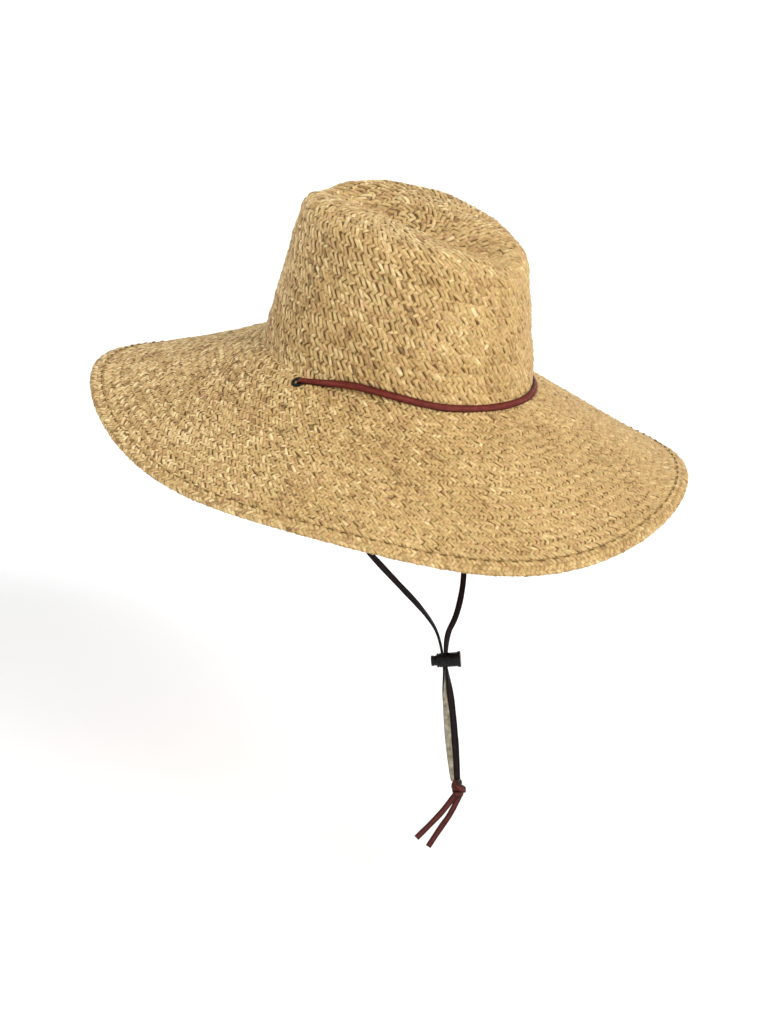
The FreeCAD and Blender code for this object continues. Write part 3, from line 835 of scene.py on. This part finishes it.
def plait(start, end, rng):
    """Angle, run and kind of each float between two runs, wound in one spiral of rows."""
    made = []
    lead = 0.0
    kind = 0
    run = start - 1.5 * COLUMN
    while run < end + COLUMN:
        size = float(fineness(run))
        lead += COLUMN * size / math.tan(float(slants_at(run + COLUMN, np.zeros(1))[0]))
        angle, at = column_floats(run, kind, 2 * COLUMN * size, lead, SPACING * size, rng, hat_point)
        made.append(np.stack([angle, at, np.full(len(angle), kind)]))
        run += COLUMN * size
        kind = 1 - kind
    made = np.concatenate(made, axis=1)
    return made[:, (made[1] > start) & (made[1] < end)]


def slants_at(run, kind):
    """The plait is pulled flatter as it spreads out over the brim."""
    share = np.clip((run - AT_FOLD + 0.02) / 0.05, 0, 1)
    kind = kind.astype(int)
    return np.array(WALL_SLANTS)[kind] * (1 - share) + np.array(BRIM_SLANTS)[kind] * share


def float_points(surface, angle, run, kind, slant, size, rng, flip, limits, fine):
    """Domed ribbons on the surface: their points, and each point's place on its ribbon."""
    each = (len(angle), 1, 1)
    angle, run, slant, size = (np.reshape(v, each) for v in (angle, run, slant, size))
    kind = np.reshape(kind, each).astype(int)
    half_length = size * np.array(HALF_LENGTHS)[kind] * rng.uniform(*LENGTH_RANGE, each)
    half_width = size * np.array(HALF_WIDTHS)[kind] * rng.uniform(*WIDTH_RANGE, each)
    rise = np.array(RISES)[kind] * rng.uniform(*RISE_RANGE, each)
    turn = slant + rng.normal(0, ANGLE_SPREAD, each)
    bow = rng.normal(0, BOW_SPREAD, each)
    tilt = rng.normal(0, TILT_SPREAD, each)
    p = np.linspace(-1, 1, 7 if fine else 5)[None, :, None]
    q = np.sin(np.linspace(-math.pi / 2, math.pi / 2, 5 if fine else 3))[None, None, :]
    along = half_length * p + 0 * q
    across = half_width * q * (1 - 0.3 * p ** 4) + bow * half_length * (1 - p ** 2)
    around = along * np.cos(turn) - across * np.sin(turn)
    down = along * np.sin(turn) + across * np.cos(turn)
    step = 0.001
    here = surface(angle, run, 0.0)
    per_angle = np.linalg.norm(surface(angle + step, run, 0.0) - here, axis=-1) / step
    per_run = np.linalg.norm(surface(angle, run + step, 0.0) - here, axis=-1) / step
    at_angle = angle + around / np.maximum(per_angle, 0.006)
    at_run = np.clip(run + down / np.maximum(per_run, 0.3), limits[0], limits[1])
    lift = (rise * (1 - q ** 2) ** 0.6 * (1 - 0.75 * np.abs(p) ** 3.0) - SINK
            + rise * tilt * p - TUCK * np.abs(p) ** 4)
    clear = clear_of_eyelets(surface(at_angle, at_run, STRAW if flip else 0.0))
    lift = lift * clear - FLANGE_SINK * (1 - clear)
    points = pushed_from_holes(surface(at_angle, at_run, STRAW + lift if flip else -lift))
    tone = np.clip(rng.normal(TONE, TONE_SPREAD, each), 0.02, 1)
    place = np.stack(np.broadcast_arrays(p, q, tone), -1)
    seeds = rng.uniform(0, 900, each)
    fibre = np.stack(np.broadcast_arrays(along * 1000, across * 1000, seeds), -1)
    return points, place, fibre


def float_piece(name, surface, floats, rng, flip, limits, material, fine=True):
    points, place, fibre = float_points(surface, *floats, rng, flip, limits, fine)
    count, rows, columns = points.shape[:3]
    quads = grid_quads(rows, columns)
    if flip:
        quads = quads[:, ::-1]
    obj = mesh_object(name, points, repeated(quads, count, rows * columns))
    set_vectors(obj, "float", place)
    set_vectors(obj, "fibre", fibre)
    finish_piece(obj, "hat", material)


def weave(suffix, flip):
    """One face of the whole hat, from the middle of the top to the hem, in eight pieces.

    flip lays the inner face.
    """
    rng = np.random.default_rng([SEED, int(flip)])
    angle, run, kind = plait(0.002, AT_HEM, rng)
    slant = slants_at(run, kind)
    if flip:
        slant = -slant
    limits = (0.0005, AT_HEM + 0.0015)
    crown = run < (AT_FOLD - BARE_INSIDE if flip else AT_FOLD)
    left = np.sin(angle) >= 0
    front = np.cos(angle) >= 0
    quarters = (("front_left", front & left), ("front_right", front & ~left),
                ("back_left", ~front & left), ("back_right", ~front & ~left))
    for name, area in (("crown_plait", crown), ("brim_plait", run >= AT_FOLD)):
        for place, quarter in quarters:
            pick = area & quarter
            floats = (angle[pick], run[pick], kind[pick], slant[pick], fineness(run[pick]))
            float_piece(f"{name}_{place}{suffix}", hat_point, floats, rng, flip, limits,
                        STRAW_IN if flip else STRAW_OUT, fine=not flip)


def shell(name, start, end, steps, replaced):
    """The closed body of straw under the floats, which shows only between them."""
    depth = 0.0007
    angles = full_turn(240)[None, :]
    runs = np.linspace(start, end, steps)
    outer = hat_point(angles, runs[:, None], depth)
    inner = hat_point(angles, runs[::-1, None], STRAW - depth)
    points = np.concatenate([outer, inner])
    rows, columns = points.shape[:2]
    if start > AT_CORNER:
        obj = mesh_object(name, points, ring_quads(rows, columns))
    else:
        obj = mesh_object(name, points, grid_quads(rows, columns, wrap=True), end_caps(rows, columns))
    return finish_piece(obj, "hat", STRAW_GAP, replaced)


def make_straw():
    weave("", False)
    weave("_under", True)
    shell("straw_crown_core", 0.0012, AT_FOLD, 70, "straw_crown")
    core = shell("straw_brim_core", AT_FOLD, AT_HEM + 0.003, 60, "straw_brim")
    cutters = []
    for origin, normal in EYELETS.values():
        reach = BARREL / 2 + 0.0002
        ring = [(0.0001, -0.012), (reach, -0.012), (reach, 0.008), (0.0001, 0.008)]
        cutters.append(lathe("cutter", origin, normal, ring, 32))
    boolean_cut(core, cutters)


# ---- hem ----

HEM_HALF = STRAW / 2 + HEM_EXTRA
HEM_FLAT = HEM_WIDTH - HEM_HALF
HEM_AROUND = 2 * HEM_FLAT + math.pi * HEM_HALF
HEM_FIRST, HEM_COLUMN, HEM_COLUMNS = 0.0026, 0.0037, 6
HEM_LEAD, HEM_SPACING = 0.0035, 0.0034
HEM_SLANTS = (math.radians(46), math.radians(-52))


def hem_point(angle, run, below):
    """Point of the folded edge: run goes out along its top, round the edge and back beneath."""
    half = HEM_HALF - below
    swing = np.clip((run - HEM_FLAT) / (math.pi * HEM_HALF), 0, 1) * math.pi
    out = BRIM_WIDTH - HEM_HALF + half * np.sin(swing)
    out = out - np.clip(HEM_FLAT - run, 0, None) - np.clip(run - HEM_FLAT - math.pi * HEM_HALF, 0, None)
    return brim_point(angle, out, STRAW / 2 - half * np.cos(swing))


def make_hem():
    """The edge's own plait, in six close columns of small floats over a closed core."""
    points = hem_point(full_turn(300)[None, :], np.linspace(0, HEM_AROUND, 30)[:, None], 0.0005)
    core = mesh_object("brim_hem_core", points, ring_quads(30, 300))
    finish_piece(core, "hat", HEM_GAP, "brim_hem")
    rng = np.random.default_rng([SEED, 77])
    made = []
    for column in range(HEM_COLUMNS):
        kind = column % 2
        run = HEM_FIRST + HEM_COLUMN * column
        angle, run = column_floats(run, kind, 0.0, HEM_LEAD * column, HEM_SPACING, rng, hem_point)
        made.append(np.stack([angle, run, np.full(len(angle), kind)]))
    angle, run, kind = np.concatenate(made, axis=1)
    slant = np.where(kind == 0, *HEM_SLANTS)
    ones = np.ones(len(angle))
    float_piece("brim_hem_plait", hem_point, (angle, run, ones, slant, ones), rng, False,
                (0.0003, HEM_AROUND - 0.0006), STRAW_OUT)


def thread_row(name, stitches, thickness, material, replaced):
    """Stitches of (start, end, up), each arched, with ends that go down into the work."""
    sides, steps = 8, 9
    share = np.linspace(0, 1, steps)
    arch = thickness * (0.35 - 1.6 * np.abs(2 * share - 1) ** 4)
    points, threads = [], []
    for a, b, up in stitches:
        up = unit(up)
        line = a + (b - a) * share[:, None] + up * arch[:, None]
        tangent = unit(np.gradient(line, axis=0))
        side = unit(np.cross(tangent, up))
        points.append(tube(line, side, np.cross(side, tangent), sides, thickness / 2))
        thread = np.zeros((steps, sides, 3))
        thread[..., 0] = (share * np.linalg.norm(b - a) / thickness * 2.2)[:, None]
        thread[..., 1] = full_turn(sides) / math.pi
        threads.append(thread)
    quads = repeated(grid_quads(steps, sides, wrap=True), len(points), steps * sides)
    caps = repeated(end_caps(steps, sides), len(points), steps * sides)
    obj = mesh_object(name, np.stack(points), quads, caps)
    set_vectors(obj, "thread", np.stack(threads))
    finish_piece(obj, "hat", material, replaced)


def make_hem_stitches():
    thickness, lift = 0.0009, 0.0008
    out = BRIM_WIDTH - HEM_WIDTH + 0.0012
    step = 2 * math.pi / HEM_STITCHES
    stitches = []
    for k in range(HEM_STITCHES):
        a = brim_point((k + 0.22) * step, out, -lift)
        b = brim_point((k + 0.74) * step, out, -lift)
        middle = brim_point((k + 0.5) * step, out, -lift)
        above = brim_point((k + 0.5) * step, out, -lift - 0.001)
        stitches.append((a, b, above - middle))
    thread_row("hem_stitching", stitches, thickness, HEM_THREAD, "hem_stitches")


# ---- sweatband ----

EDGE_ROLL = 0.0003           # added thickness at the tape's turned edges
PUCKER = 0.00022             # height of the puckers along its stitches
LAP, LAP_HALF = 0.0007, 0.055   # the seam's added thickness, and its half-width in radians

def band_point(angle, z, inset):
    """Point against the inside of the wall at about height z."""
    rim = top_height(-WALL_Y * np.cos(angle))
    wall = (z - CROWN_BASE_Z) / (rim - CORNER - CROWN_BASE_Z)
    return crown_point(angle, wall, 0.0, 1.0, inset)


def make_sweatband():
    """A tape with turned, slightly puckered edges and a lapped seam at the back."""
    columns = 480
    angle = full_turn(columns)[None, :]
    outer, inner = STRAW + BAND_GAP, STRAW + BAND_GAP + SWEATBAND_THICK
    heights = np.concatenate([np.linspace(0, 1, 16), np.linspace(1, 0, 16)])[:, None]
    faces = np.concatenate([np.full(16, inner), np.full(16, outer)])[:, None]
    near_edge = np.minimum(heights, 1 - heights)
    hem = np.where(faces == inner, EDGE_ROLL * np.exp(-(near_edge / 0.10) ** 2), 0.0)
    near_stitches = np.exp(-((heights - 0.12) / 0.10) ** 2)
    pucker = np.where(faces == inner, PUCKER * np.sin(90 * angle) * near_stitches, 0)
    past_lap = np.abs(angle - math.pi - 0.005) - LAP_HALF
    lap = np.where(faces == inner, LAP / (1 + np.exp(np.clip(past_lap * 900, -60, 60))), 0.0)
    z = SWEATBAND_LOW + (SWEATBAND_HIGH - SWEATBAND_LOW) * heights
    z = z + 0.00025 * np.sin(45 * angle) * (1 - heights)
    points = band_point(angle, z, faces + hem + pucker + lap)
    obj = mesh_object("sweatband_tape", points, ring_quads(32, columns)[:, ::-1])
    cloth = np.zeros((32, columns, 3))
    cloth[..., 0] = angle * (WALL_X + WALL_Y) / 2
    cloth[..., 1] = z
    set_vectors(obj, "cloth", cloth)
    finish_piece(obj, "hat", TAPE, "sweatband")


def make_sweatband_stitches():
    thickness = 0.0008
    z = SWEATBAND_LOW + 0.003
    inset = STRAW + BAND_GAP + SWEATBAND_THICK
    step = 2 * math.pi / BAND_STITCHES
    stitches = []
    for k in range(BAND_STITCHES):
        a = band_point((k + 0.12) * step, z, inset)
        b = band_point((k + 0.86) * step, z, inset)
        stitches.append((a, b, -(a + b) * (0.5, 0.5, 0)))
    thread_row("sweatband_stitching", stitches, thickness, BAND_THREAD, "sweatband_stitches")


# ---- eyelets ----

def make_eyelet(side, name):
    """The ring with its rolled flange, and the washer beneath the brim."""
    origin, normal = EYELETS[side]
    bore, barrel, rim = HOLE / 2, BARREL / 2, FLANGE / 2
    middle, half = (bore + rim) / 2, (rim - bore) / 2
    rolled = [(bore, -0.0040), (bore, -0.0002)]
    for k in range(9):
        swing = math.radians(180 - 22.5 * k)
        rolled.append((middle + half * math.cos(swing), 0.0002 + 0.0013 * math.sin(swing) ** 0.8))
    rolled += [(rim, 0.0), (barrel + 0.0003, 0.0), (barrel, -0.0003), (barrel, -0.0036),
               (barrel + 0.0005, -0.0038), (barrel + 0.0005, -0.0042), (bore + 0.0002, -0.0043)]
    ring = lathe("eyelet_ring_" + name, origin, normal, rolled[::-1], 72)
    finish_piece(ring, "hat", ENAMEL, "eyelet_" + name)
    flat = [(barrel, -STRAW - 0.0006), (rim, -STRAW - 0.0006), (rim, -STRAW), (barrel, -STRAW)]
    washer = lathe("eyelet_back_" + name, origin, normal, rounded(flat, 0.0002), 72)
    finish_piece(washer, "hat", ENAMEL, "eyelet_washer_" + name)


# ---- lace round the crown ----

LACE_CLIMB = 0.0045                 # how far the lace rides up the wall beside the eyelets
BAND_SPREAD = 0.16                  # the lace is pressed a little wider where it lies on the straw
SMOOTHINGS = 16                     # passes that round the lace's route where it meets the fold


def climb_at(angle):
    """0 round the front of the crown, rising to 1 at its sides."""
    share = min(max((abs(angle) - math.radians(40)) / math.radians(35), 0.0), 1.0)
    return share * share * (3 - 2 * share)


def ring_point(angle):
    climb = climb_at(angle)
    out = LACE_RING_OUT - 0.0005 * climb
    return Vector(((WALL_X + out) * math.sin(angle), -(WALL_Y + out) * math.cos(angle),
                   LACE_RING_Z + LACE_CLIMB * climb))


def ring_tangency(origin):
    """Angle where a straight line from the eyelet touches the lace's oval, on its front side."""
    a, b = WALL_Y + LACE_RING_OUT, WALL_X + LACE_RING_OUT
    p, q = abs(origin.x) * a, origin.y * b
    return math.asin(a * b / math.hypot(p, q)) + math.atan2(q, p)


def ring_across(angle):
    """Where the lace's width points, tilted to lie in the fold."""
    nx, ny = oval_normal(angle)
    tilt = LACE_TILT * (1 - 0.6 * climb_at(angle))
    s, c = math.sin(tilt), math.cos(tilt)
    return Vector((nx * s, ny * s, -c))


def eyelet_turn(side):
    """Points and widths from inside the eyelet, over its flange and on to the fold."""
    origin, normal = EYELETS[side]
    touch = side * ring_tangency(origin)
    target = ring_point(touch)
    lift = FLANGE_THICK + LACE_THICK / 2 + 0.0005
    bend = 0.003
    ahead = target - (origin + normal * lift)
    ahead = (ahead - normal * normal.dot(ahead)).normalized()
    across = normal.cross(ahead)
    if across.dot(ring_across(touch)) < 0:
        across = -across
    bottom = origin - normal * (HINGE_BELOW - 0.0006)
    centre = origin + normal * (lift - bend) + ahead * bend
    points = [bottom + (centre - ahead * bend - bottom) * k / 4 for k in range(5)]
    widths = [across] * 5
    for k in range(1, 9):
        swing = math.pi / 2 * k / 8
        points.append(centre - ahead * bend * math.cos(swing) + normal * bend * math.sin(swing))
        widths.append(across)
    start = points[-1]
    for k in range(1, 12):
        share = k / 12
        sag = normal * (-0.0006 * math.sin(math.pi * share))
        points.append(start + (target - start) * share + sag)
        widths.append(across * (1 - share) + ring_across(touch) * share)
    return points, widths, touch


def make_lace_band():
    """One lace: up through the left eyelet, round the crown's front, down through the right one."""
    points, widths, touch = eyelet_turn(1)
    right_points, right_widths, _ = eyelet_turn(-1)
    for angle in np.linspace(touch, -touch, 150):
        points.append(ring_point(angle))
        widths.append(ring_across(angle))
    points += right_points[::-1]
    widths += right_widths[::-1]
    line = np.array([tuple(p) for p in points])
    across = np.array([tuple(w) for w in widths])
    for _ in range(SMOOTHINGS):
        line[15:-15] = (line[14:-16] + 2 * line[15:-15] + line[16:-14]) / 4
    shares, length = line_shares(line)
    from_end = np.minimum(shares, 1 - shares) * length
    spread = 1 + BAND_SPREAD * np.clip((from_end - 0.012) / 0.02, 0, 1)
    obj = strap("chin_lace_round_crown", line, across, waver=0.02, seed=3, spread=spread)
    finish_piece(obj, "hat", BAND_LEATHER, "chin_lace_band")


# ---- knot ----

def knot_wrap(name, points, seed):
    """One turn of the knot, its width lying along the knot and its face outward."""
    down = LACE_DOWN.normalized()
    ahead = Vector((0.51, -0.85, 0.13))
    front = (ahead - down * down.dot(ahead)).normalized()
    side = down.cross(front)
    line = spline_line([KNOT + (front * x + side * y + down * z) * 0.001 for x, y, z in points])
    tangent = unit(np.gradient(line, axis=0))
    axis = np.array(down)
    away = line - np.array(KNOT)
    away = unit(away - (away @ axis)[:, None] * axis * 0.75)
    obj = strap(name, line, np.cross(away, tangent), width=0.0043, thick=0.0016, waver=0.04, seed=seed)
    finish_piece(obj, "chin_lace", KNOT_LEATHER, "chin_lace_knot")


# The knot's two turns: millimetres to the front, to the side and down from its middle.
OUTER_TURN = [(-1.2, 0.4, -8.0), (-2.2, 2.2, -5.0), (0.6, 4.4, -2.6), (4.4, 3.0, 0.2),
              (6.0, -0.6, 1.4), (3.6, -4.2, 0.8), (-0.8, -4.4, -1.4), (-3.8, -1.8, -3.4),
              (-3.4, 2.0, -3.0), (-0.6, 2.6, 0.0), (0.8, 1.0, 3.5), (0.6, 0.4, 6.5)]
INNER_TURN = [(1.4, -0.6, -8.0), (2.8, -2.4, -4.6), (-0.4, -4.0, -0.6), (-3.4, -1.6, 1.6),
              (-3.2, 2.2, 2.6), (0.4, 3.8, 2.8), (3.6, 1.6, 3.6), (3.2, -1.8, 4.2),
              (0.2, -2.6, 3.6), (-0.8, -0.6, 4.6), (-0.8, -0.2, 7.0)]


def make_knot():
    """Overhand knot in the doubled lace, drawn tight, with its larger lobe to the front."""
    knot_wrap("knot_turn_outer", OUTER_TURN, 4)
    knot_wrap("knot_turn_inner", INNER_TURN, 6)


# ---- cord lock ----

def slot_cutter(start, end):
    """A bar of rectangular section, through the lock where the lace passes."""
    half, reach = 0.0027, 0.012
    down, along = LACE_DOWN.normalized(), LOCK_AXIS.normalized()
    across = down.cross(along)
    points = []
    for d in (-reach, reach):
        for w, a in ((-half, start), (half, start), (half, end), (-half, end)):
            points.append(tuple(LOCK + down * d + across * w + along * a))
    quads = [(0, 1, 2, 3), (7, 6, 5, 4), (0, 4, 5, 1), (1, 5, 6, 2), (2, 6, 7, 3), (3, 7, 4, 0)]
    return mesh_object("cutter", points, quads)


def make_lock():
    """Moulded barrel with a grooved mouth and a flared closed end, and its button."""
    r, bore, floor = LOCK_RADIUS, LOCK_BORE / 2, LOCK_END - LOCK_FLOOR
    outline = [(bore, LOCK_START), (r - 0.0001, LOCK_START), (r, LOCK_START + 0.0013),
               (r - 0.0005, LOCK_START + 0.0015), (r - 0.0005, LOCK_START + 0.0019),
               (r, LOCK_START + 0.0021), (r, LOCK_END - 0.0030), (r + 0.0007, LOCK_END - 0.0017),
               (r + 0.0007, LOCK_END), (0.0001, LOCK_END), (0.0001, floor), (bore, floor)]
    barrel = lathe("lock_body", LOCK, LOCK_AXIS, rounded(outline, 0.00035), 96)
    boolean_cut(barrel, [slot_cutter(-LOCK_HOLE / 2, LOCK_HOLE / 2)])
    finish_piece(barrel, "cord_lock", PLASTIC, "lock_barrel")
    p = PLUNGER_RADIUS
    outline = [(0.0001, PLUNGER_START), (p, PLUNGER_START), (p, PLUNGER_START + 0.0020),
               (p - 0.0004, PLUNGER_START + 0.0022), (p - 0.0004, PLUNGER_START + 0.0027),
               (p - 0.0001, PLUNGER_START + 0.0030), (p - 0.0001, PLUNGER_END), (0.0001, PLUNGER_END)]
    button = lathe("lock_button_cap", LOCK, LOCK_AXIS, rounded(outline, 0.0006, 5), 80)
    pinch_face = LACE_OFFSET + LACE_THICK / 2 + 0.00008
    boolean_cut(button, [slot_cutter(-pinch_face - PLUNGER_TRAVEL - 0.0003, pinch_face)])
    finish_piece(button, "lock_button", PLASTIC, "lock_plunger")


def make_lock_spring():
    wire, mean, turns, gap = 0.0005, 0.0056, 3.5, 0.00005
    floor = LOCK_END - LOCK_FLOOR
    low, high = PLUNGER_END + wire / 2 + gap, floor - wire / 2 - gap
    axis = LOCK_AXIS.normalized()
    steps, sides = 140, 10
    share = np.linspace(0, 1, steps)
    line = (np.array(LOCK) + np.outer(low + (high - low) * share, np.array(axis))
            + mean / 2 * spokes(axis, share * turns * 2 * math.pi))
    tangent = unit(np.gradient(line, axis=0))
    side = unit(np.cross(tangent, np.array(axis)))
    points = tube(line, side, np.cross(side, tangent), sides, wire / 2)
    obj = mesh_object("lock_spring_coil", points, grid_quads(steps, sides, wrap=True),
                      end_caps(steps, sides))
    finish_piece(obj, "cord_lock", STEEL, "lock_spring")
    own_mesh(obj)


# ---- build ----

make_straw()
make_hem()
make_hem_stitches()
make_sweatband()
make_sweatband_stitches()
for eyelet_side, eyelet_name in ((1, "left"), (-1, "right")):
    make_eyelet(eyelet_side, eyelet_name)
make_lace_band()
make_knot()
make_lock()
make_lock_spring()
for steel_node in ("brim_wire", "wire_joiner"):
    set_material(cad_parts[steel_node], STEEL)


# ---- stage and light ----

def make_floor():
    """A pale plain floor some way under the hanging lace."""
    low = cad_box[0].z - 0.05
    reach = 12.0
    points = [(-reach, -reach, low), (reach, -reach, low), (reach, reach, low), (-reach, reach, low)]
    floor = mesh_object("floor", points, [(0, 1, 2, 3)])
    f = Finish("pale_floor", 0.9)
    shade = f.noise(f.position(), 1.5, 2.0)
    f.set("Base Color", f.mix(shade, srgb(250, 250, 250), srgb(246, 246, 247)))
    set_material(floor, f.material)


def make_light():
    """An even white room, and one broad sun from above the hat's front."""
    world = bpy.data.worlds.new("studio")
    world.use_nodes = True
    background = world.node_tree.nodes["Background"]
    background.inputs["Color"].default_value = (1.0, 1.0, 1.0, 1.0)
    background.inputs["Strength"].default_value = 0.99
    scene.world = world
    sun = bpy.data.lights.new("key", "SUN")
    sun.energy = 1.75
    sun.angle = math.radians(28)
    key = bpy.data.objects.new("key", sun)
    key.rotation_mode = "QUATERNION"
    key.rotation_quaternion = Vector((0.22, 0.74, -0.62)).to_track_quat("-Z", "Y")
    scene.collection.objects.link(key)
    scene.view_settings.view_transform = "Standard"


make_floor()
make_light()
